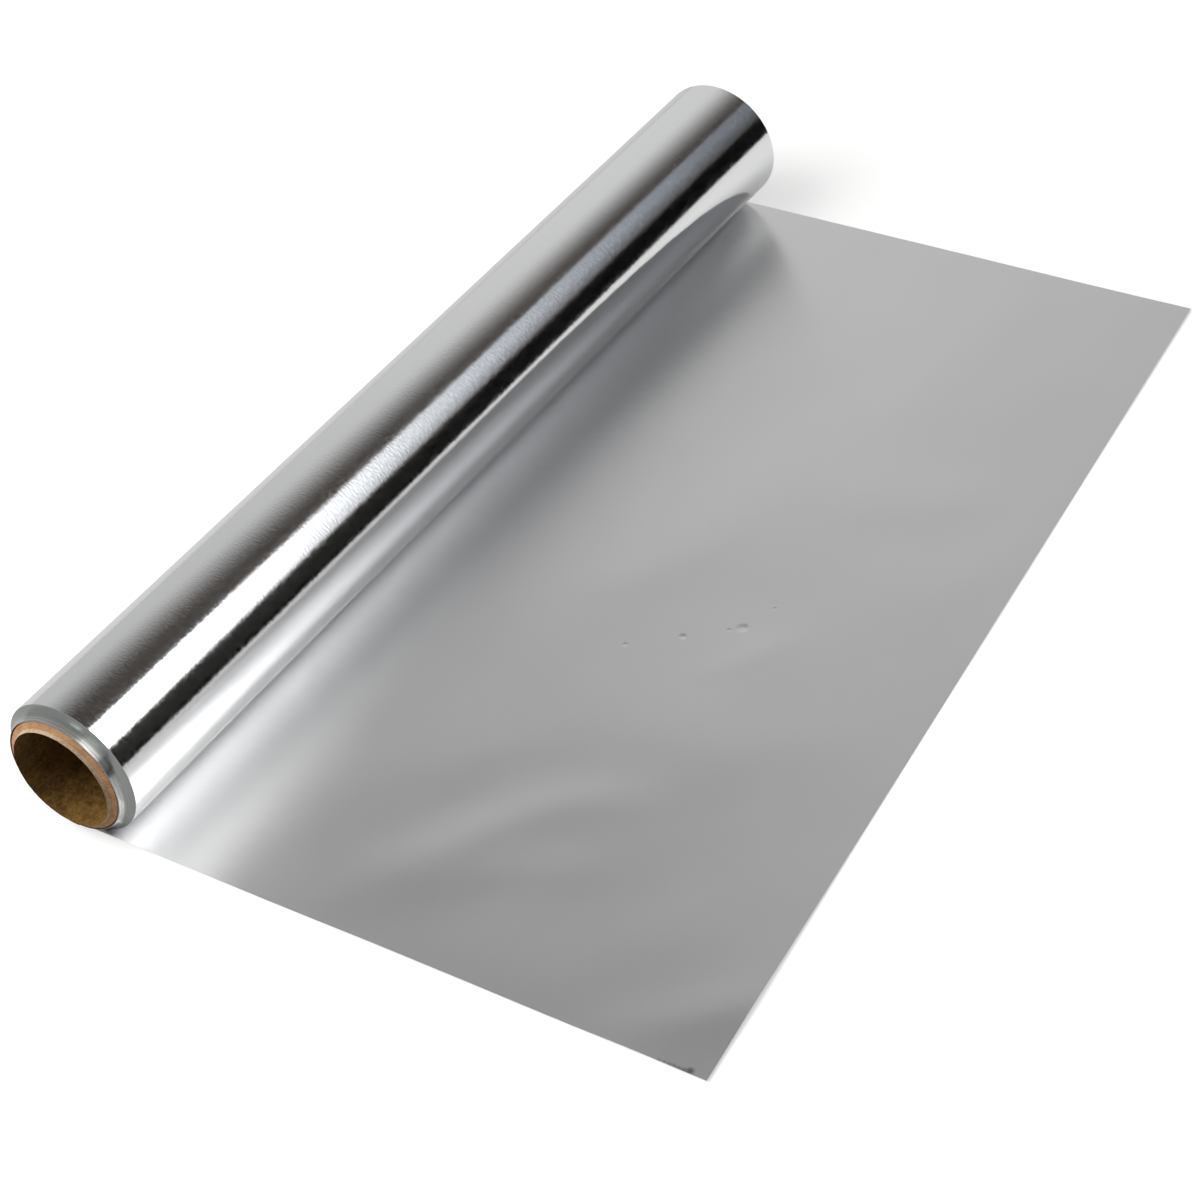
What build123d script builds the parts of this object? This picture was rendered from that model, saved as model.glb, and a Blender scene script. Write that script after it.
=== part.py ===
# Household aluminium foil: a paperboard core, and one ribbon of foil that is wound on it and partly pulled out.
#
# Frame: the roll's axis runs along Y, the pulled-out sheet lies towards +X, and Z points up.
# The origin is on the table, straight under the roll's axis, halfway along the roll.
# The roll has been knocked on its far end, so the core and the inner turns stand out at the near end (-Y)
# and are sunk by as much at the far end (+Y).
# A real turn is far too thin to model, so each modelled turn stands for a bundle of real ones.
from build123d import *
import os
from math import sqrt

# Foil
foil_width = 300.0          # along the roll, the same for every turn and for the sheet
turn_thickness = 0.3        # one modelled turn, and the sheet
turn_count = 9              # modelled turns between the core and the outside
turn_stagger = 0.4          # how far each turn stands out past the turn around it, at the near end
flat_spot_width = 3.8       # where the soft roll is pressed flat by its own weight

# Pulled-out sheet
sheet_near_length = 172.5   # from under the axis to the free edge, along the near side
sheet_far_length = 151.5    # the same along the far side: the foil was torn off at a slant
sheet_walk = 1.0            # how far it has crept towards the near end while it was pulled

# Core
core_bore = 28.0            # inside diameter of the paperboard tube
core_wall = 2.1             # thickness of the tube
core_length = 300.0         # from the near rim to the far end
core_proud = 1.5            # how far the near rim stands out past the innermost turn
rim_width = 0.4             # the pale lip round the bore, at the near end
rim_drop = 0.8              # how far that lip falls back at its outer edge
winding_gap = 0.05          # between the core and the first turn

# Places that follow from the sizes
near_edge = -foil_width / 2
far_edge = foil_width / 2
bore_radius = core_bore / 2
core_radius = bore_radius + core_wall
wound_bore_radius = core_radius + winding_gap
roll_radius = wound_bore_radius + turn_count * turn_thickness
flat_half = flat_spot_width / 2
step_between_centres = turn_thickness / 2
axis_height = sqrt(roll_radius**2 - flat_half**2) + step_between_centres
innermost_near_edge = near_edge - (turn_count - 1) * turn_stagger
core_near_end = innermost_near_edge - core_proud
core_far_end = core_near_end + core_length


def turn_outline(turn):
    """Face inside the outer surface of one turn, counted from the outside, in the plane of the roll's section.

    The spiral is drawn from two centres. On the side away from the sheet each turn is a half circle about
    a point half a thickness below the axis. On the side of the sheet it is a half circle about the axis,
    half a thickness smaller, so that it comes round to the bottom one thickness further in.
    """
    back_radius = roll_radius - turn * turn_thickness
    front_radius = back_radius - step_between_centres
    back_centre = axis_height - step_between_centres
    bottom = (0, back_centre - back_radius)
    top = (0, axis_height + front_radius)
    inner_bottom = (0, axis_height - front_radius)
    back = ThreePointArc(bottom, (-back_radius, back_centre), top)
    front = ThreePointArc(top, (front_radius, axis_height), inner_bottom)
    step = Line(inner_bottom, bottom)
    return make_face([back, front, step])


def wound_layer(turn, start, end):
    """Everything inside one turn's outer surface, from one place along the roll to another."""
    section_plane = Plane(origin=(0, start, 0), x_dir=(1, 0, 0), z_dir=(0, -1, 0))
    return extrude(section_plane * turn_outline(turn), amount=start - end)


def pressed_foot():
    """Strip under the roll, where the outermost turn is pressed against the one above it."""
    return extrude(Rectangle(flat_spot_width, foil_width), amount=turn_thickness)


def pulled_out_sheet():
    """Flat length of foil from under the roll's axis to the slanted free edge."""
    near_side = near_edge - sheet_walk
    far_side = far_edge - sheet_walk
    corners = [
        (0, near_side),
        (sheet_near_length, near_side),
        (sheet_far_length, far_side),
        (0, far_side),
    ]
    return extrude(make_face(Polyline(*corners, close=True)), amount=turn_thickness)


def along_axis(radius, start, end):
    """Cylinder on the roll's axis."""
    base = Plane(origin=(0, start, axis_height), z_dir=(0, 1, 0))
    return extrude(base * Circle(radius), amount=end - start)


def make_foil():
    """The whole ribbon: its turns, stepped out at the near end and in at the far end, and the sheet."""
    roll = wound_layer(0, near_edge, far_edge)
    for turn in range(1, turn_count):
        shift = turn * turn_stagger
        roll += wound_layer(turn, near_edge - shift, near_edge)
        roll -= wound_layer(turn, far_edge - shift, far_edge)
    roll -= along_axis(wound_bore_radius, innermost_near_edge, far_edge)
    pressed_roll = split(roll, bisect_by=Plane.XY, keep=Keep.TOP)
    return pressed_roll + pressed_foot() + pulled_out_sheet()


def make_core():
    """Paperboard tube: square cut at the far end, and worn to a cone with a pale lip at the near end."""
    outline = [
        (bore_radius, core_near_end),
        (bore_radius + rim_width, core_near_end + rim_drop),
        (core_radius, core_near_end + core_proud),
        (core_radius, core_far_end),
        (bore_radius, core_far_end),
    ]
    half_section = make_face(Polyline(*outline, close=True))
    return Pos(0, 0, axis_height) * revolve(half_section, axis=Axis.Y)


os.makedirs("parts", exist_ok=True)
export_step(make_core(), "parts/core.step")
export_step(make_foil(), "parts/foil.step")
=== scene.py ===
"""Looks of a household roll of aluminium foil, dressed for a studio photograph.

A paperboard core carries the wound foil, whose last length is pulled out from under the roll and lies flat.
The roll's axis runs along Y, the sheet lies towards +X, and Z points up. Lengths are in metres, except where
a description says millimetres.
"""

import logging
import math
from collections.abc import Sequence
from dataclasses import dataclass
from enum import Enum

import bmesh
import bpy
from mathutils import Matrix, Vector, noise

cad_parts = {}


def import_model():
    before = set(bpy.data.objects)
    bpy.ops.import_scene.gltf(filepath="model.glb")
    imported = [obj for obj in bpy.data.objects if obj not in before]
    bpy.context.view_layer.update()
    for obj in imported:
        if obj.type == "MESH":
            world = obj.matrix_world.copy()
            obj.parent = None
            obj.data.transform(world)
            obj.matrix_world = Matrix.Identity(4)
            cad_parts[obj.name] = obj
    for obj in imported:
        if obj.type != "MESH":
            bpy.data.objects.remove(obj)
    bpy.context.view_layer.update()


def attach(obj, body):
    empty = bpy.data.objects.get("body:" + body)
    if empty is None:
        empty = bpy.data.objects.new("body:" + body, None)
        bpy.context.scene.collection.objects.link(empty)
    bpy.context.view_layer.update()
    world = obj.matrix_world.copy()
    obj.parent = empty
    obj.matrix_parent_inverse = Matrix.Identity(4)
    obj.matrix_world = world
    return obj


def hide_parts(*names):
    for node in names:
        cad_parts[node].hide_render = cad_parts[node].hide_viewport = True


LOG = logging.getLogger("foil_roll")
MM = 0.001
AXIS_HEIGHT = 18.904 * MM
SHEET_MAP = "sheet_map"
QUARTER_TURN = 0.25
UNIT_GRID = 0.5  # half the side of a square grid one metre wide

Colour = tuple[float, float, float]
Point = tuple[float, float, float]
Place = tuple[float, float]
Span = tuple[float, float]

WHITE: Colour = (1.0, 1.0, 1.0)


class Slot(Enum):
    """The record's material slots."""

    BOARD = "core_board"
    FOIL = "foil_metal"


class Rolling(Enum):
    """Which way the foil was rolled out, and so how its blur is turned."""

    ROUND = "round the roll"
    FLAT = "along the flat sheet"


def opaque(colour: Sequence[float]) -> tuple[float, ...]:
    """Adds full opacity to a colour."""
    return (*colour, 1.0)


def clamped(value: float) -> float:
    """Keeps a number between 0 and 1."""
    return max(0.0, min(1.0, value))


class NodeGraph:
    """Adds nodes to one shader tree and joins them."""

    def __init__(self, tree: bpy.types.NodeTree) -> None:
        """Starts from an empty tree.

        Args:
            tree: The node tree of a material or of the world.
        """
        self.tree = tree
        tree.nodes.clear()

    def add(
        self, kind: str, inputs: dict[str | int, object] | None = None, **settings: object
    ) -> bpy.types.Node:
        """Adds a node.

        Args:
            kind: The node's Blender type.
            inputs: Values or other nodes' outputs for its sockets.
            **settings: Values for the node's own properties.

        Returns:
            The new node.
        """
        node = self.tree.nodes.new(kind)
        for name, value in settings.items():
            setattr(node, name, value)
        for socket, value in (inputs or {}).items():
            if isinstance(value, bpy.types.NodeSocket):
                self.tree.links.new(value, node.inputs[socket])
            else:
                node.inputs[socket].default_value = value
        return node

    def place(self) -> bpy.types.NodeSocket:
        """Returns the place on the piece."""
        return self.add("ShaderNodeTexCoord").outputs["Object"]

    def maths(self, operation: str, *values: object) -> bpy.types.NodeSocket:
        """Adds a Math node and returns its result."""
        return self.add("ShaderNodeMath", dict(enumerate(values)), operation=operation).outputs[0]

    def vector_maths(self, operation: str, *values: object, result: str = "Value") -> bpy.types.NodeSocket:
        """Adds a Vector Math node and returns its Value, or its Vector where the result is named so."""
        node = self.add("ShaderNodeVectorMath", dict(enumerate(values)), operation=operation)
        return node.outputs[result]

    def between(self, value: object, start: float, end: float) -> bpy.types.NodeSocket:
        """Rises smoothly from 0 at start to 1 at end, or falls from 1 to 0 where start is the larger."""
        low, high = min(start, end), max(start, end)
        rising = self.add(
            "ShaderNodeMapRange",
            {"Value": value, "From Min": low, "From Max": high},
            interpolation_type="SMOOTHSTEP",
        ).outputs["Result"]
        return rising if start < end else self.maths("SUBTRACT", 1.0, rising)

    def blend(self, share: object, first: object, second: object) -> bpy.types.NodeSocket:
        """Mixes two numbers by a share from 0 to 1."""
        return self.add("ShaderNodeMix", {0: share, 2: first, 3: second}, data_type="FLOAT").outputs[0]

    def tint(self, share: object, first: object, second: object, mode: str = "MIX") -> bpy.types.NodeSocket:
        """Mixes two colours by a share from 0 to 1."""
        inputs = {0: share, 6: first, 7: second}
        return self.add("ShaderNodeMix", inputs, data_type="RGBA", blend_type=mode).outputs[2]

    def speckle(self, size: Sequence[float], detail: float = 2.0, warp: float = 0.0) -> bpy.types.NodeSocket:
        """Adds noise that belongs to the piece.

        Args:
            size: Size of its specks along X, Y and Z, in metres.
            detail: How many finer layers it has.
            warp: How much it is stirred.

        Returns:
            A value from 0 to 1.
        """
        scale = tuple(1.0 / side for side in size)
        scaled = self.add("ShaderNodeMapping", {"Vector": self.place(), "Scale": scale})
        inputs = {"Vector": scaled.outputs["Vector"], "Scale": 1.0, "Detail": detail, "Distortion": warp}
        return self.add("ShaderNodeTexNoise", inputs).outputs["Fac"]

    def relief(self, height: object, depth: float, below: object | None = None) -> bpy.types.NodeSocket:
        """Turns a pattern into a bumpy normal.

        Args:
            height: The pattern's output.
            depth: The height that 1 stands for, in metres.
            below: The normal of a coarser relief that this one lies on.

        Returns:
            The normal.
        """
        inputs = {"Height": height, "Distance": depth, "Strength": 1.0}
        if below is not None:
            inputs["Normal"] = below
        return self.add("ShaderNodeBump", inputs).outputs["Normal"]

    def show(self, shader: bpy.types.Node) -> None:
        """Gives the material its shader."""
        self.add("ShaderNodeOutputMaterial", {"Surface": shader.outputs[0]})

    def glow(self, colour: object) -> None:
        """Makes the material a plain glow of a colour."""
        self.show(self.add("ShaderNodeEmission", {"Color": colour, "Strength": 1.0}))


def new_material(name: str) -> tuple[bpy.types.Material, NodeGraph]:
    """Makes an empty node material.

    Args:
        name: The material's name.

    Returns:
        The material and its graph.
    """
    material = bpy.data.materials.new(name)
    material.use_nodes = True
    return material, NodeGraph(material.node_tree)


@dataclass(frozen=True)
class Spot:
    """A round spot on the sheet, its place and radius in millimetres, its heart as a share of the radius."""

    x: float
    y: float
    radius: float
    heart: float = 0.15

    def outside(self, graph: NodeGraph, place: bpy.types.NodeSocket) -> bpy.types.NodeSocket:
        """Returns 1 outside the spot, falling to 0 at its heart.

        Args:
            graph: The face's node graph.
            place: The place on the sheet.

        Returns:
            A share from 0 to 1.
        """
        distance = graph.vector_maths("DISTANCE", place, (self.x * MM, self.y * MM, 0.0))
        return graph.between(distance, self.radius * self.heart * MM, self.radius * MM)


@dataclass(frozen=True)
class FoilFinish:
    """One face of the foil, with its rolling lines and small dents, and on the sheet its pits and its spots
    of painted shade along a curled, creased edge.
    """

    name: str
    colour: Colour
    roughness: float
    anisotropy: float
    rolling: Rolling
    line_length: float
    line_width: float
    line_height: float
    dent_size: float
    dent_height: float
    cloudiness: float
    cloud_size: Point = (0.045, 0.03, 0.045)
    cloud_warp: float = 0.4
    grain: float = 0.0
    grain_span: Span = (0.40, 0.62)
    pits: tuple[Spot, ...] = ()
    pit_depth: float = 0.12 * MM
    # Spots of painted shade that stand in for the shadow under a curled, creased edge, and how far they
    # darken the colour.
    painted_shade_spots: tuple[Spot, ...] = ()
    painted_shade_factor: float = 0.16

    def plain_between(self, graph: NodeGraph, spots: Sequence[Spot]) -> bpy.types.NodeSocket:
        """Tells the plain face from the spots on it.

        Args:
            graph: The face's node graph.
            spots: The spots.

        Returns:
            1 on the plain face, falling to 0 in the heart of each spot.
        """
        place = graph.place()
        share = 1.0
        for spot in spots:
            share = graph.maths("MULTIPLY", share, spot.outside(graph, place))
        return share

    def blur_direction(self, graph: NodeGraph) -> dict[str, object]:
        """Returns the shader's inputs that turn the blur along the roll, or on the sheet across it.

        Args:
            graph: The face's node graph.

        Returns:
            Values by socket name.
        """
        if self.rolling is Rolling.FLAT:
            tangent = graph.add("ShaderNodeTangent", direction_type="UV_MAP", uv_map=SHEET_MAP)
            return {"Tangent": tangent.outputs["Tangent"], "Anisotropic Rotation": 0.0}
        tangent = graph.add("ShaderNodeTangent", direction_type="RADIAL", axis="Y")
        return {"Tangent": tangent.outputs["Tangent"], "Anisotropic Rotation": QUARTER_TURN}

    def material(self) -> bpy.types.Material:
        """Returns the face's material."""
        material, graph = new_material(self.name)
        dents = graph.speckle((self.dent_size,) * 3, detail=1.0)
        lines = graph.speckle((self.line_length, self.line_width, self.line_length))
        normal = graph.relief(lines, self.line_height, graph.relief(dents, self.dent_height))
        if self.pits:
            normal = graph.relief(self.plain_between(graph, self.pits), self.pit_depth, normal)
        colour = opaque(self.colour)
        # Painted shade: the colour darkens in spots in place of the shadow under the sheet's curled, creased
        # edge.
        if self.painted_shade_spots:
            painted_shade_colour = opaque([self.painted_shade_factor * value for value in self.colour])
            colour = graph.tint(self.plain_between(graph, self.painted_shade_spots), painted_shade_colour, colour)
        clouds = graph.speckle(self.cloud_size, detail=3.0, warp=self.cloud_warp)
        spread = self.roughness * self.cloudiness
        roughness = graph.blend(clouds, self.roughness - spread, self.roughness + spread)
        grains = graph.between(lines, *self.grain_span)
        roughness = graph.maths("MULTIPLY_ADD", grains, self.grain, roughness)
        surface = graph.add(
            "ShaderNodeBsdfPrincipled",
            {
                "Base Color": colour,
                "Metallic": 1.0,
                "Roughness": roughness,
                "Anisotropic": self.anisotropy,
                "Normal": normal,
                **self.blur_direction(graph),
            },
        )
        graph.show(surface)
        return material


@dataclass(frozen=True)
class TurnEdgeFinish:
    """The roll's ends, where hundreds of slit edges lie side by side in rings that soft patches disturb."""

    name: str
    colour: Colour
    shade: Colour
    shade_span: Span = (0.35, 0.62)
    roughness: float = 0.24
    anisotropy: float = 0.5
    ring_width: float = 0.16 * MM
    ring_height: float = 0.006 * MM
    ring_detail: float = 2.0
    patch_size: float = 4 * MM
    patch_shift: float = 2.0
    patch_height: float = 0.12 * MM

    def rings(self, graph: NodeGraph, patches: bpy.types.NodeSocket) -> bpy.types.NodeSocket:
        """Adds noise that changes only with the distance from the roll's axis.

        Args:
            graph: The face's node graph.
            patches: Soft noise that shifts the rings a little.

        Returns:
            A value from 0 to 1.
        """
        centred = graph.vector_maths("SUBTRACT", graph.place(), (0.0, 0.0, AXIS_HEIGHT), result="Vector")
        flat = graph.vector_maths("MULTIPLY", centred, (1.0, 0.0, 1.0), result="Vector")
        turn = graph.maths("DIVIDE", graph.vector_maths("LENGTH", flat), self.ring_width)
        shifted = graph.maths("ADD", turn, graph.maths("MULTIPLY", patches, self.patch_shift))
        inputs = {"W": shifted, "Scale": 1.0, "Detail": self.ring_detail}
        return graph.add("ShaderNodeTexNoise", inputs, noise_dimensions="1D").outputs["Fac"]

    def material(self) -> bpy.types.Material:
        """Returns a metal with fine rings about the roll's axis."""
        material, graph = new_material(self.name)
        patches = graph.speckle((self.patch_size,) * 3)
        rings = self.rings(graph, patches)
        share = graph.between(rings, *self.shade_span)
        colour = graph.tint(share, opaque(self.shade), opaque(self.colour))
        normal = graph.relief(rings, self.ring_height, graph.relief(patches, self.patch_height))
        around = graph.add("ShaderNodeTangent", direction_type="RADIAL", axis="Y").outputs["Tangent"]
        surface = graph.add(
            "ShaderNodeBsdfPrincipled",
            {
                "Base Color": colour,
                "Metallic": 1.0,
                "Roughness": self.roughness,
                "Anisotropic": self.anisotropy,
                "Anisotropic Rotation": QUARTER_TURN,
                "Normal": normal,
                "Tangent": around,
            },
        )
        graph.show(surface)
        return material


@dataclass(frozen=True)
class BoardFinish:
    """Uncoated paperboard, with its fibres and blotches, and in the bore the seam of its wound ply."""

    name: str
    pale: Colour
    dark: Colour
    fibre_length: float
    fibre_width: float
    relief_height: float
    fibre_share: float = 0.6
    fibre_warp: float = 0.6
    blotch_size: Point = (2.2 * MM, 3.0 * MM, 2.2 * MM)
    blotch_share: float = 0.4
    shade_span: Span = (0.34, 0.66)
    roughness: float = 0.82
    shine: float = 0.25
    seam_pitch: float = 0.0
    seam_start: float = 10.3
    seam_width: float = 0.018
    seam_shade: float = 0.55
    seam_depth: float = 3.0

    def seam(self, graph: NodeGraph) -> bpy.types.NodeSocket:
        """Returns 1 along the edge of the ply that winds round the core, and 0 elsewhere."""
        axes = graph.add("ShaderNodeSeparateXYZ", {"Vector": graph.place()}).outputs
        height = graph.maths("SUBTRACT", axes["Z"], AXIS_HEIGHT)
        turn = graph.maths("DIVIDE", graph.maths("ARCTAN2", height, axes["X"]), math.tau)
        along = graph.maths("DIVIDE", axes["Y"], self.seam_pitch)
        phase = graph.maths("FRACT", graph.maths("ADD", graph.maths("ADD", turn, along), self.seam_start))
        return graph.between(phase, self.seam_width, 0.0)

    def material(self) -> bpy.types.Material:
        """Returns the board's material."""
        material, graph = new_material(self.name)
        fibre_size = (self.fibre_length, self.fibre_width, self.fibre_length)
        fibres = graph.speckle(fibre_size, detail=4.0, warp=self.fibre_warp)
        blotches = graph.speckle(self.blotch_size, detail=3.0)
        fibre_part = graph.maths("MULTIPLY", fibres, self.fibre_share)
        shade = graph.maths("ADD", fibre_part, graph.maths("MULTIPLY", blotches, self.blotch_share))
        share = graph.between(shade, *self.shade_span)
        colour = graph.tint(share, opaque(self.dark), opaque(self.pale))
        height = fibres
        if self.seam_pitch:
            seam = self.seam(graph)
            seam_share = graph.maths("MULTIPLY", seam, self.seam_shade)
            colour = graph.tint(seam_share, colour, opaque(self.dark), mode="MULTIPLY")
            height = graph.maths("SUBTRACT", fibres, graph.maths("MULTIPLY", seam, self.seam_depth))
        surface = graph.add(
            "ShaderNodeBsdfPrincipled",
            {
                "Base Color": colour,
                "Roughness": self.roughness,
                "Specular IOR Level": self.shine,
                "Normal": graph.relief(height, self.relief_height),
            },
        )
        graph.show(surface)
        return material


BRIGHT_FACE = FoilFinish(
    name="foil_bright_face",
    colour=(0.885, 0.89, 0.895),
    roughness=0.095,
    anisotropy=0.4,
    rolling=Rolling.ROUND,
    line_length=1.1 * MM,
    line_width=0.55 * MM,
    line_height=0.020 * MM,
    dent_size=14 * MM,
    dent_height=0.02 * MM,
    cloudiness=0.08,
    grain=0.06,
)
SATIN_FACE = FoilFinish(
    name="foil_satin_face",
    colour=(0.842, 0.844, 0.847),
    roughness=0.283,
    anisotropy=0.83,
    rolling=Rolling.FLAT,
    line_length=2.5 * MM,
    line_width=0.5 * MM,
    line_height=0.0015 * MM,
    dent_size=9 * MM,
    dent_height=0.028 * MM,
    cloudiness=0.025,
    pits=(
        Spot(82.6, -39.6, 1.1),
        Spot(94.2, -30.8, 1.4),
        Spot(106.1, -21.5, 2.0),
        Spot(109.6, -11.4, 0.7),
        Spot(103.4, -23.6, 0.8),
    ),
    # Painted shade along the near edge by the corner, in place of the shadow under its curled, creased edge.
    painted_shade_spots=(
        Spot(168.0, -150.3, 1.6),
        Spot(166.6, -150.7, 1.2),
        Spot(165.4, -150.7, 1.15),
        Spot(164.2, -150.7, 1.15),
        Spot(163.0, -150.7, 1.1),
        Spot(161.8, -150.75, 1.1),
        Spot(160.6, -150.8, 1.05),
    ),
)
SLIT_EDGES = TurnEdgeFinish(name="slit_edges", colour=(0.38, 0.40, 0.385), shade=(0.29, 0.305, 0.295))
BARE_TURNS = TurnEdgeFinish(name="bare_inner_turns", colour=(0.56, 0.555, 0.54), shade=(0.38, 0.38, 0.37))
# The bore's board is darker than the cut face partly as the board's own tone and partly as painted shade deep
# in the tube.
BORE_BOARD = BoardFinish(
    name="board_bore",
    pale=(0.232, 0.130, 0.036),
    dark=(0.091, 0.046, 0.011),
    fibre_length=0.5 * MM,
    fibre_width=1.1 * MM,
    relief_height=0.05 * MM,
    seam_pitch=62 * MM,
)
CUT_BOARD = BoardFinish(
    name="board_cut_face",
    pale=(0.535, 0.305, 0.155),
    dark=(0.30, 0.155, 0.075),
    fibre_length=0.35 * MM,
    fibre_width=0.35 * MM,
    relief_height=0.08 * MM,
)
LIP_BOARD = BoardFinish(
    name="board_lip",
    pale=(0.56, 0.43, 0.31),
    dark=(0.34, 0.23, 0.13),
    fibre_length=0.4 * MM,
    fibre_width=0.4 * MM,
    relief_height=0.05 * MM,
)


def spin_outline(shape: bmesh.types.BMesh, outline: Sequence[Place], steps: int) -> None:
    """Turns a closed outline once round the roll's axis.

    Args:
        shape: The mesh that gets the surface.
        outline: Pairs of radius and place along Y, in metres.
        steps: Number of facets round the axis.
    """
    corners = [shape.verts.new((radius, along, AXIS_HEIGHT)) for radius, along in outline]
    sides = [shape.edges.new((corners[i - 1], corners[i])) for i in range(len(corners))]
    bmesh.ops.spin(
        shape,
        geom=corners + sides,
        cent=(0.0, 0.0, AXIS_HEIGHT),
        axis=(0.0, 1.0, 0.0),
        dvec=(0.0, 0.0, 0.0),
        angle=math.tau,
        steps=steps,
        use_merge=True,
        use_duplicate=False,
    )
    bmesh.ops.recalc_face_normals(shape, faces=shape.faces)


def finished_object(
    name: str, shape: bmesh.types.BMesh, finishes: Sequence[bpy.types.Material], sharp_from: float = 60.0
) -> bpy.types.Object:
    """Makes a scene object of a mesh.

    Args:
        name: The piece's name.
        shape: Its mesh, which is freed.
        finishes: Its materials, in the order of the faces' numbers.
        sharp_from: Angle between faces, in degrees, from which an edge stays sharp.

    Returns:
        The object, at the origin.
    """
    mesh = bpy.data.meshes.new(name)
    shape.to_mesh(mesh)
    shape.free()
    for finish in finishes:
        mesh.materials.append(finish)
    mesh.shade_smooth()
    mesh.set_sharp_from_angle(angle=math.radians(sharp_from))
    piece = bpy.data.objects.new(name, mesh)
    bpy.context.collection.objects.link(piece)
    return piece


def dress(piece: bpy.types.Object, node: str) -> None:
    """Puts a piece in a node's place.

    Args:
        piece: The piece.
        node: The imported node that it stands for.
    """
    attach(piece, "root")
    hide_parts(node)
    LOG.info("%s stands for %s, with %d faces", piece.name, node, len(piece.data.polygons))


@dataclass
class PaperboardCore:
    """The tube that the foil is wound on. Its near end is worn to a cone round a pale lip, and frayed."""

    bore_radius: float = 14.0 * MM
    bore_margin: float = 0.05 * MM
    wall: float = 2.1 * MM
    near_end: float = -154.7 * MM
    length: float = 300.0 * MM
    lip_width: float = 0.4 * MM
    lip_drop: float = 0.8 * MM
    cone_drop: float = 1.5 * MM
    edge_wear: float = 0.30 * MM
    edge_drop: float = 0.9 * MM
    facets: int = 160
    rows_along: int = 24
    rows_on_cone: int = 6
    fray: float = 0.07 * MM
    fray_lift: float = 0.8
    fray_reach: float = 0.9
    coarse_fray_size: float = 1.1 * MM
    fine_fray_size: float = 0.5 * MM
    fine_fray_share: float = 0.5

    def outline(self) -> list[Place]:
        """Returns the section of the tube, round its wall."""
        outer_radius = self.bore_radius + self.wall
        lip_radius = self.bore_radius + self.lip_width
        far_end = self.near_end + self.length
        cone_top = self.near_end + self.cone_drop
        lip_bottom = self.near_end + self.lip_drop
        bore = [
            (self.bore_radius, far_end + (self.near_end - far_end) * row / self.rows_along)
            for row in range(self.rows_along + 1)
        ]
        cone = [
            (
                lip_radius + (outer_radius - self.edge_wear - lip_radius) * row / self.rows_on_cone,
                lip_bottom + (cone_top - lip_bottom) * row / self.rows_on_cone,
            )
            for row in range(self.rows_on_cone + 1)
        ]
        worn = (outer_radius, cone_top + self.edge_drop)
        return [*bore, *cone, worn, (outer_radius, far_end), (self.bore_radius + self.wall / 2, far_end)]

    def fray_near_face(self, shape: bmesh.types.BMesh) -> None:
        """Makes the worn near face slightly uneven."""
        for vertex in shape.verts:
            if vertex.co.y - self.near_end < self.cone_drop * self.fray_reach:
                coarse = noise.noise(vertex.co / self.coarse_fray_size)
                fine = noise.noise(vertex.co / self.fine_fray_size)
                vertex.co.y += self.fray * (coarse + self.fine_fray_share * fine + self.fray_lift)

    def paint(self, shape: bmesh.types.BMesh) -> None:
        """Gives each face the number of its finish: bore, cut face or lip."""
        for face in shape.faces:
            middle = face.calc_center_median()
            radius = math.hypot(middle.x, middle.z - AXIS_HEIGHT)
            if radius < self.bore_radius + self.bore_margin:
                face.material_index = 0
            elif middle.y < self.near_end + self.lip_drop and radius < self.bore_radius + self.lip_width:
                face.material_index = 2
            else:
                face.material_index = 1

    def build(self) -> bpy.types.Object:
        """Returns the finished tube."""
        shape = bmesh.new()
        spin_outline(shape, self.outline(), self.facets)
        self.fray_near_face(shape)
        self.paint(shape)
        finishes = [finish.material() for finish in (BORE_BOARD, CUT_BOARD, LIP_BOARD)]
        tube = finished_object("core_tube", shape, finishes, sharp_from=40.0)
        dress(tube, "core")
        return tube


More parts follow.
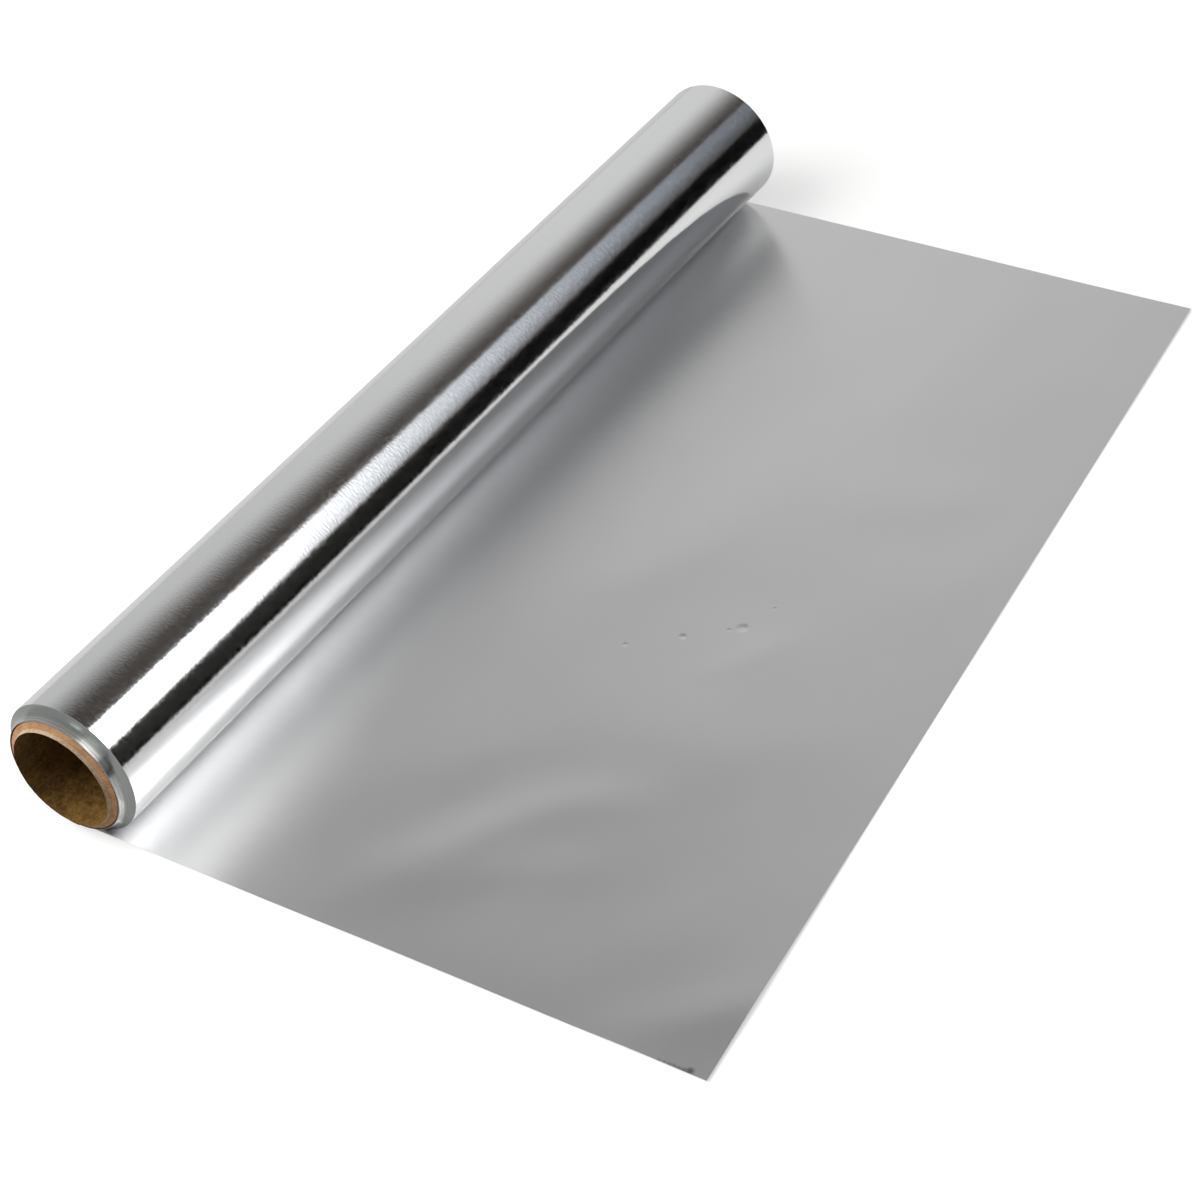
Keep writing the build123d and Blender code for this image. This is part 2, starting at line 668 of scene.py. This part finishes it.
@dataclass
class WoundFoil:
    """The foil on the core. Knocked on its far end, it stands out in a cone at the near end.

    Each slip is a depth below the outside, and how far the turns there have slipped towards the near end, in
    millimetres.
    """

    front_radius: float = 18.70 * MM
    back_radius: float = 18.85 * MM
    near_edge: float = -150.0 * MM
    far_edge: float = 150.0 * MM
    facets: int = 256
    rows_along: int = 75
    back_margin: float = 0.01 * MM
    skin: float = 0.1 * MM
    unevenness: float = 0.02 * MM
    swell_size: Point = (0.02, 0.045, 0.02)
    swell_middle: float = 0.5
    end_slant: float = 0.1
    bare_from: float = 1.9 * MM
    slips: tuple[Place, ...] = (
        (0.0, 0.0),
        (0.12, 0.04),
        (0.45, 0.25),
        (0.9, 0.55),
        (1.35, 0.95),
        (1.7, 1.3),
        (1.95, 1.85),
        (2.2, 2.5),
        (2.4, 3.1),
        (2.55, 3.2),
    )

    def end_face(self, edge: float) -> list[Place]:
        """Returns the section of one end, from the outside inwards."""
        return [(self.front_radius - depth * MM, edge - slip * MM) for depth, slip in self.slips]

    def outline(self) -> list[Place]:
        """Returns the section of the wound foil, round its wall."""
        length = self.far_edge - self.near_edge
        outside = [
            (self.front_radius, self.near_edge + length * row / self.rows_along)
            for row in range(1, self.rows_along)
        ]
        near_face = self.end_face(self.near_edge)
        far_face = self.end_face(self.far_edge)
        return [*reversed(near_face), *outside, *far_face]

    def open_spiral(self, shape: bmesh.types.BMesh) -> None:
        """Widens the back half from the roll's top, so that the outer turn comes down onto the table."""
        top = Vector((0.0, 0.0, AXIS_HEIGHT + self.front_radius))
        back = [vertex for vertex in shape.verts if vertex.co.x < -self.back_margin]
        growth = self.back_radius / self.front_radius
        bmesh.ops.scale(shape, vec=(growth, 1.0, growth), space=Matrix.Translation(-top), verts=back)

    def press_foot(self, shape: bmesh.types.BMesh) -> None:
        """Presses the roll flat where it stands on the table."""
        for vertex in shape.verts:
            vertex.co.z = max(vertex.co.z, 0.0)

    def loosen(self, shape: bmesh.types.BMesh) -> None:
        """Makes the outer turn slightly uneven, as soft foil is."""
        for vertex in shape.verts:
            outward = Vector((vertex.co.x, 0.0, vertex.co.z - AXIS_HEIGHT))
            if outward.length > self.front_radius - self.skin:
                place = Vector([value / size for value, size in zip(vertex.co, self.swell_size)])
                swell = noise.noise(place) - self.swell_middle
                vertex.co += outward.normalized() * self.unevenness * swell

    def paint(self, shape: bmesh.types.BMesh) -> None:
        """Gives each face the number of its finish: bright face, slit edges, or bare turns by the core."""
        for face in shape.faces:
            middle = face.calc_center_median()
            radius = math.hypot(middle.x, middle.z - AXIS_HEIGHT)
            if abs(face.normal.y) < self.end_slant and radius > self.front_radius - self.skin:
                face.material_index = 0
            elif radius > self.front_radius - self.bare_from:
                face.material_index = 1
            else:
                face.material_index = 2

    def build(self) -> bpy.types.Object:
        """Returns the finished winding."""
        shape = bmesh.new()
        spin_outline(shape, self.outline(), self.facets)
        self.paint(shape)
        self.open_spiral(shape)
        self.loosen(shape)
        self.press_foot(shape)
        finishes = [finish.material() for finish in (BRIGHT_FACE, SLIT_EDGES, BARE_TURNS)]
        winding = finished_object("wound_foil", shape, finishes, sharp_from=30.0)
        dress(winding, "foil")
        return winding


@dataclass(frozen=True)
class SoftWaves:
    """Irregular waves all over the sheet. Each set of waves has a layer of noise of its own."""

    height: float
    length_x: float
    length_y: float
    layer: float

    def lift(self, x: float, y: float) -> float:
        """Returns how far the waves lift the sheet at a place, all in metres."""
        return self.height * noise.noise(Vector((x / self.length_x, y / self.length_y, self.layer)))


@dataclass(frozen=True)
class SoftFold:
    """A soft ridge in the sheet, or a valley where its height is below zero. Its sizes are in millimetres.

    Along its path the fold follows half a wave, of which a small share is cut off at each end.
    """

    path: tuple[Place, ...]
    width: float
    height: float
    cut_off: float = 0.12

    def lift(self, x: float, y: float) -> float:
        """Returns how far the fold lifts the sheet.

        Args:
            x: Place on the sheet, in metres.
            y: Place on the sheet, in metres.

        Returns:
            The lift in metres.
        """
        place = Vector((x, y)) / MM
        lift = 0.0
        runs = len(self.path) - 1
        for number, (start, end) in enumerate(zip(self.path, self.path[1:])):
            run = Vector(end) - Vector(start)
            share = clamped((place - Vector(start)).dot(run) / run.length_squared)
            distance = (place - Vector(start) - run * share).length / self.width
            phase = self.cut_off + (1.0 - 2.0 * self.cut_off) * (number + share) / runs
            lift = max(lift, math.sin(math.pi * phase) * math.exp(-distance * distance))
        return self.height * MM * lift


@dataclass
class FoilSheet:
    """The length of foil that lies flat, from under the roll to its slanted torn edge."""

    near_side: float = -151.0 * MM
    far_side: float = 149.0 * MM
    near_length: float = 172.5 * MM
    far_length: float = 151.5 * MM
    top: float = 0.3 * MM
    thickness: float = 0.04 * MM
    table_gap: float = 0.01 * MM
    column_count: int = 138
    row_count: int = 240
    row_crowding: float = 1.25
    held_until: float = 10 * MM
    free_over: float = 60 * MM
    rest_height: float = 0.35 * MM
    rest_from: float = 30 * MM
    softness: float = 0.25 * MM
    waves: tuple[SoftWaves, ...] = (
        SoftWaves(height=0.55 * MM, length_x=0.05, length_y=0.065, layer=3.7),
        SoftWaves(height=0.10 * MM, length_x=0.018, length_y=0.026, layer=8.1),
    )
    folds: tuple[SoftFold, ...] = (
        SoftFold(path=((64, -150), (77, -130), (88, -110), (97, -96), (112, -86)), width=8.5, height=0.27),
        SoftFold(path=((58, -132), (74, -112), (86, -92), (104, -77)), width=10, height=-0.20),
        SoftFold(path=((84, -132), (100, -117), (118, -110)), width=7, height=0.13),
        SoftFold(path=((106, -41), (113, -32), (120, -18)), width=3.5, height=0.06),
        SoftFold(path=((62, -30), (78, 0), (82, 34)), width=12, height=0.22),
        SoftFold(path=((98, 20), (128, 44), (150, 52)), width=11, height=0.14),
        SoftFold(path=((120, -70), (142, -48), (162, -40)), width=12, height=0.13),
        SoftFold(path=((150, -147), (166, -133), (182, -119)), width=8, height=0.28),
    )

    def height_at(self, x: float, y: float) -> float:
        """Returns the height of the sheet's upper face.

        Args:
            x: Place from under the roll's axis, in metres.
            y: Place along the roll, in metres.

        Returns:
            The height in metres.
        """
        free = clamped((x - self.held_until) / self.free_over)
        base = self.top + (self.rest_height - self.top) * clamped(x / self.rest_from)
        waves = sum(wave.lift(x, y) for wave in self.waves)
        folds = sum(fold.lift(x, y) for fold in self.folds)
        height = base + free * waves + folds - self.thickness
        above_table = (height + math.hypot(height, self.softness * free)) / 2
        return above_table + self.thickness + self.table_gap

    def lay(self, shape: bmesh.types.BMesh) -> None:
        """Spreads a square grid over the cut's outline and lets it lie in soft waves."""
        for vertex in shape.verts:
            across = vertex.co.x + UNIT_GRID
            along = (vertex.co.y + UNIT_GRID) ** self.row_crowding
            x = across * (self.near_length + (self.far_length - self.near_length) * along)
            y = self.near_side + along * (self.far_side - self.near_side)
            vertex.co = (x, y, self.height_at(x, y))

    def add_map(self, shape: bmesh.types.BMesh) -> None:
        """Gives the sheet a flat map of its places, in metres, which its blur follows."""
        layer = shape.loops.layers.uv.new(SHEET_MAP)
        for face in shape.faces:
            for loop in face.loops:
                loop[layer].uv = loop.vert.co.xy

    def build(self) -> bpy.types.Object:
        """Returns the finished sheet."""
        shape = bmesh.new()
        bmesh.ops.create_grid(shape, x_segments=self.column_count, y_segments=self.row_count, size=UNIT_GRID)
        self.lay(shape)
        bmesh.ops.solidify(shape, geom=shape.faces, thickness=self.thickness)
        self.add_map(shape)
        sheet = finished_object("foil_sheet", shape, [SATIN_FACE.material()])
        dress(sheet, "foil")
        return sheet


@dataclass
class LightTent:
    """A wide tent round the roll that only mirrors show.

    It has a pale side, a dark top, a softbox, a dark foot, and a card beyond the roll's near end. Its finish
    follows two measures: the angle about Y, in degrees, which is 0 on the sheet's side, 90 overhead and 180
    on the other side, and the place along Y, in radii of the tent, which is below 0 on the near end's side.
    A span holds the two values between which something changes.
    """

    radius: float = 2.5
    half_length: float = 9.0
    facets: int = 96
    near_to_far: Span = (0.5, 1.05)
    end_to_roll: Span = (0.0, 0.4)

    pale_near: float = 0.53
    pale_far: float = 0.655
    pale_side: Span = (96.0, 156.0)
    drift_far: float = 26.0
    drift_back: float = 28.0
    drift_power: float = 2.3
    dark_top: Colour = (0.060, 0.052, 0.047)
    end_top: Colour = (0.42, 0.43, 0.41)

    end_card: Colour = (1.95, 1.98, 1.86)
    card_low_edge: Span = (93.0, 103.0)
    card_high_edge: Span = (123.0, 111.0)
    card_near_edge: Span = (-1.3, -1.6)
    card_far_edge: Span = (-2.6, -2.2)

    softbox_tint: Colour = (0.885, 0.965, 1.09)
    softbox_low_edge: Span = (28.5, 35.5)
    softbox_high_edge: Span = (72.5, 66.5)
    softbox_sinking: float = 3.0
    softbox_sinks_over: Span = (0.5, 0.8)
    softbox_brightens_over: Span = (32.0, 54.0)
    softbox_dim_near: float = 0.72
    softbox_dim_far: float = 0.45
    softbox_dims_over: Span = (0.6, 0.85)
    softbox_end: float = 0.665
    fading_rate: float = 1.83
    warming_rate: float = 2.35
    warms_over: Span = (-0.6, 0.4)
    heat_rate: float = 5.5
    heat_reach: float = 0.20

    foot_edge: Span = (30.0, 26.0)
    end_foot: Colour = (0.22, 0.22, 0.21)
    dark_foot_near: Colour = (0.022, 0.022, 0.020)
    dark_foot_far: Colour = (0.0008, 0.0009, 0.0007)
    foot_darkens_over: Span = (0.5, 0.85)

    flag_distance: float = 0.40
    flag_middle: float = 0.75
    flag_height: float = 0.06
    flag_length: float = 3.0

    def walls(self, graph: NodeGraph, angle: object, along: object) -> bpy.types.NodeSocket:
        """Returns the colour of the pale side and of the top, whose border drifts along the tent."""
        start, end = self.near_to_far
        nearness = graph.add(
            "ShaderNodeMapRange",
            {"Value": along, "From Min": start, "From Max": end, "To Min": 1.0, "To Max": 0.0},
        ).outputs["Result"]
        back = graph.maths("POWER", nearness, self.drift_power)
        drift = graph.maths("MULTIPLY_ADD", back, -self.drift_back, self.drift_far)
        pale_share = graph.between(graph.maths("ADD", angle, drift), *self.pale_side)
        pale = graph.blend(graph.between(along, *self.near_to_far), self.pale_near, self.pale_far)
        roll_share = graph.between(along, *self.end_to_roll)
        top = graph.tint(roll_share, opaque(self.end_top), opaque(self.dark_top))
        return graph.tint(pale_share, top, pale)

    def card_share(self, graph: NodeGraph, angle: object, along: object) -> bpy.types.NodeSocket:
        """Returns 1 on the card beyond the roll's near end, which its slit edges mirror, and 0 elsewhere."""
        low, high = graph.between(angle, *self.card_low_edge), graph.between(angle, *self.card_high_edge)
        near, far = graph.between(along, *self.card_near_edge), graph.between(along, *self.card_far_edge)
        height = graph.maths("MULTIPLY", low, high)
        return graph.maths("MULTIPLY", height, graph.maths("MULTIPLY", near, far))

    def softbox_share(self, graph: NodeGraph, angle: object, along: object) -> bpy.types.NodeSocket:
        """Returns 1 on the softbox, whose high edge sinks along the tent, and 0 elsewhere."""
        low = graph.between(angle, *self.softbox_low_edge)
        sinking_share = graph.between(along, *self.softbox_sinks_over)
        lowered = graph.maths("ADD", angle, graph.maths("MULTIPLY", sinking_share, self.softbox_sinking))
        high = graph.between(lowered, *self.softbox_high_edge)
        return graph.maths("MULTIPLY", low, high)

    def softbox_glow(self, graph: NodeGraph, angle: object, along: object) -> bpy.types.NodeSocket:
        """Returns the softbox's brightness, which is highest before its end and falls off past it."""
        past = graph.maths("MAXIMUM", graph.maths("SUBTRACT", along, self.softbox_end), 0.0)
        before = graph.maths("MAXIMUM", graph.maths("SUBTRACT", self.softbox_end, along), 0.0)
        reach = graph.maths("MINIMUM", before, self.heat_reach)
        rate = graph.maths("MULTIPLY_ADD", reach, self.heat_rate, self.warming_rate)
        warmer = graph.maths("MULTIPLY", reach, rate)
        warmer = graph.maths("MULTIPLY", warmer, graph.between(along, *self.warms_over))
        power = graph.maths("SUBTRACT", warmer, graph.maths("MULTIPLY", past, self.fading_rate))
        far_share = graph.between(along, *self.softbox_dims_over)
        dimmest = graph.blend(far_share, self.softbox_dim_near, self.softbox_dim_far)
        height = graph.blend(graph.between(angle, *self.softbox_brightens_over), dimmest, 1.0)
        return graph.maths("MULTIPLY", graph.maths("POWER", 10.0, power), height)

    def foot(self, graph: NodeGraph, along: object) -> bpy.types.NodeSocket:
        """Returns the colour of the foot, which is darkest far along the roll and grey by its near end."""
        far_share = graph.between(along, *self.foot_darkens_over)
        dark_foot = graph.tint(far_share, opaque(self.dark_foot_near), opaque(self.dark_foot_far))
        roll_share = graph.between(along, *self.end_to_roll)
        return graph.tint(roll_share, opaque(self.end_foot), dark_foot)

    def material(self) -> bpy.types.Material:
        """Returns the tent's glow, by the angle about the tent's axis and by the place along it."""
        material, graph = new_material("light_tent")
        axes = graph.add("ShaderNodeSeparateXYZ", {"Vector": graph.place()}).outputs
        angle = graph.maths("DEGREES", graph.maths("ARCTAN2", axes["Z"], axes["X"]))
        along = graph.maths("DIVIDE", axes["Y"], self.radius)
        colour = self.walls(graph, angle, along)
        colour = graph.tint(self.card_share(graph, angle, along), colour, opaque(self.end_card))
        far_share = graph.between(along, *self.near_to_far)
        tint = graph.tint(far_share, opaque(WHITE), opaque(self.softbox_tint))
        softbox = graph.tint(1.0, self.softbox_glow(graph, angle, along), tint, mode="MULTIPLY")
        colour = graph.tint(self.softbox_share(graph, angle, along), colour, softbox)
        colour = graph.tint(graph.between(angle, *self.foot_edge), colour, self.foot(graph, along))
        graph.glow(colour)
        material.cycles.emission_sampling = "NONE"
        return material

    def hide_from_all_but_mirrors(self, screen: bpy.types.Object) -> None:
        """Keeps a screen out of the picture, the light and the shadows."""
        screen.visible_camera = False
        screen.visible_diffuse = False
        screen.visible_transmission = False
        screen.visible_shadow = False

    def flag(self) -> bpy.types.Object:
        """Returns the low black flag that shortens the table which the roll mirrors."""
        material, graph = new_material("black_flag")
        graph.glow(opaque(self.dark_foot_far))
        material.cycles.emission_sampling = "NONE"
        shape = bmesh.new()
        bmesh.ops.create_grid(shape, x_segments=1, y_segments=1, size=UNIT_GRID)
        upright = Matrix.Rotation(math.radians(90.0), 3, "Y")
        bmesh.ops.rotate(shape, cent=(0.0, 0.0, 0.0), matrix=upright, verts=shape.verts)
        bmesh.ops.scale(shape, vec=(1.0, self.flag_length, self.flag_height), verts=shape.verts)
        place = (self.flag_distance, self.flag_middle, self.flag_height / 2)
        bmesh.ops.translate(shape, vec=place, verts=shape.verts)
        flag = finished_object("black_flag", shape, [material])
        self.hide_from_all_but_mirrors(flag)
        return flag

    def build(self) -> bpy.types.Object:
        """Returns the tent, which the camera and the lamps do not see."""
        self.flag()
        shape = bmesh.new()
        ends = [shape.verts.new((self.radius, place, 0.0)) for place in (-self.half_length, self.half_length)]
        rail = shape.edges.new(ends)
        bmesh.ops.spin(
            shape,
            geom=[*ends, rail],
            cent=(0.0, 0.0, 0.0),
            axis=(0.0, -1.0, 0.0),
            dvec=(0.0, 0.0, 0.0),
            angle=math.pi,
            steps=self.facets,
            use_merge=False,
            use_duplicate=False,
        )
        tent = finished_object("light_tent", shape, [self.material()])
        self.hide_from_all_but_mirrors(tent)
        return tent


@dataclass
class Studio:
    """Table, soft light and surroundings."""

    table_size: float = 14.0
    table_colour: Colour = (0.50, 0.50, 0.495)
    table_roughness: float = 0.9
    table_glow: float = 0.55
    table_glow_far: float = 0.75
    glow_changes_over: Span = (0.5, 2.5)
    mirrored_glow: float = 0.10
    mirrored_glow_beyond: float = 0.30
    beyond_in_x: Span = (-20 * MM, 20 * MM)
    beyond_in_y: Span = (130 * MM, 170 * MM)
    ambient_low: float = 0.03
    ambient_high: float = 1.15
    light_from: Point = (-0.76, -0.16, 0.63)
    mirror_sky: float = 0.60
    lamp_place: Point = (-0.8, -0.9, 1.3)
    lamp_size: float = 1.2
    lamp_power: float = 26.0

    def table_strength(self, graph: NodeGraph) -> bpy.types.NodeSocket:
        """Returns the table's own glow: pale to the camera, and dim to mirrors, less so beyond the sheet."""
        rays = graph.add("ShaderNodeLightPath").outputs
        seen = graph.maths("MAXIMUM", rays["Is Camera Ray"], rays["Is Transmission Ray"])
        place = graph.place()
        axes = graph.add("ShaderNodeSeparateXYZ", {"Vector": place}).outputs
        beyond_x = graph.between(axes["X"], *self.beyond_in_x)
        beyond_y = graph.between(axes["Y"], *self.beyond_in_y)
        beyond = graph.maths("MULTIPLY", beyond_x, beyond_y)
        mirrored = graph.blend(beyond, self.mirrored_glow, self.mirrored_glow_beyond)
        mirrored = graph.maths("MULTIPLY", rays["Is Glossy Ray"], mirrored)
        far_share = graph.between(graph.vector_maths("LENGTH", place), *self.glow_changes_over)
        glow = graph.blend(far_share, self.table_glow, self.table_glow_far)
        return graph.maths("MAXIMUM", graph.maths("MULTIPLY", seen, glow), mirrored)

    def table(self) -> bpy.types.Object:
        """Returns the pale table."""
        material, graph = new_material("table_white")
        surface = graph.add(
            "ShaderNodeBsdfPrincipled",
            {
                "Base Color": opaque(self.table_colour),
                "Roughness": self.table_roughness,
                "Specular IOR Level": 0.0,
                "Emission Color": opaque(WHITE),
                "Emission Strength": self.table_strength(graph),
            },
        )
        graph.show(surface)
        material.cycles.emission_sampling = "NONE"
        shape = bmesh.new()
        bmesh.ops.create_grid(shape, x_segments=1, y_segments=1, size=self.table_size / 2)
        top = finished_object("table", shape, [material])
        return top

    def sky(self) -> None:
        """Lights the scene mostly from one side, and is white to the camera and pale grey to mirrors."""
        world = bpy.data.worlds.new("soft_surroundings")
        world.use_nodes = True
        graph = NodeGraph(world.node_tree)
        rays = graph.add("ShaderNodeLightPath").outputs
        direction = graph.add("ShaderNodeTexCoord").outputs["Generated"]
        towards = graph.vector_maths("DOT_PRODUCT", direction, self.light_from)
        share = graph.maths("MAXIMUM", towards, 0.0)
        ambient = graph.blend(share, self.ambient_low, self.ambient_high)
        strength = graph.blend(rays["Is Glossy Ray"], ambient, self.mirror_sky)
        seen = graph.maths("MAXIMUM", rays["Is Camera Ray"], rays["Is Transmission Ray"])
        strength = graph.blend(seen, strength, 1.0)
        glow = graph.add("ShaderNodeBackground", {"Color": opaque(WHITE), "Strength": strength})
        graph.add("ShaderNodeOutputWorld", {"Surface": glow.outputs[0]})
        bpy.context.scene.world = world

    def lamp(self) -> bpy.types.Object:
        """Returns the one soft lamp, whose own shape no mirror shows."""
        light = bpy.data.lights.new("soft_lamp", "AREA")
        light.size = self.lamp_size
        light.energy = self.lamp_power
        lamp = bpy.data.objects.new("soft_lamp", light)
        lamp.location = self.lamp_place
        lamp.rotation_euler = (-Vector(self.lamp_place)).to_track_quat("-Z", "Y").to_euler()
        lamp.visible_glossy = False
        bpy.context.collection.objects.link(lamp)
        return lamp

    def build(self) -> None:
        """Sets up the whole studio."""
        self.table()
        LightTent().build()
        self.sky()
        self.lamp()
        LOG.info("studio is set")


@dataclass
class PhotoCamera:
    """The camera that took the photograph. Its angles are in degrees, its lens and sensor in millimetres."""

    place: Point = (0.406364, -0.468187, 0.464045)
    heading: float = 37.559
    downward_tilt: float = 39.842
    roll: float = -8.099
    lens: float = 85.386
    sensor: float = 36.0
    nearest: float = 0.01
    farthest: float = 50.0

    def build(self) -> bpy.types.Object:
        """Returns the camera, which the scene then uses."""
        optics = bpy.data.cameras.new("photo_camera")
        optics.sensor_width = self.sensor
        optics.lens = self.lens
        optics.clip_start = self.nearest
        optics.clip_end = self.farthest
        camera = bpy.data.objects.new("photo_camera", optics)
        aim = Matrix.Rotation(math.radians(self.heading), 4, "Z")
        tilt = Matrix.Rotation(math.radians(90.0 - self.downward_tilt), 4, "X")
        roll = Matrix.Rotation(math.radians(self.roll), 4, "Z")
        camera.matrix_world = Matrix.Translation(self.place) @ aim @ tilt @ roll
        bpy.context.collection.objects.link(camera)
        bpy.context.scene.camera = camera
        LOG.info("camera is set")
        return camera


def main() -> None:
    """Builds the roll and its studio."""
    logging.basicConfig(level=logging.INFO, format="%(message)s")
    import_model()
    bpy.context.scene.view_settings.view_transform = "Standard"
    Studio().build()
    PhotoCamera().build()
    for piece in (PaperboardCore(), WoundFoil(), FoilSheet()):
        LOG.info("built %s", piece.build().name)
    bpy.context.view_layer.update()


if __name__ == "__main__":
    main()
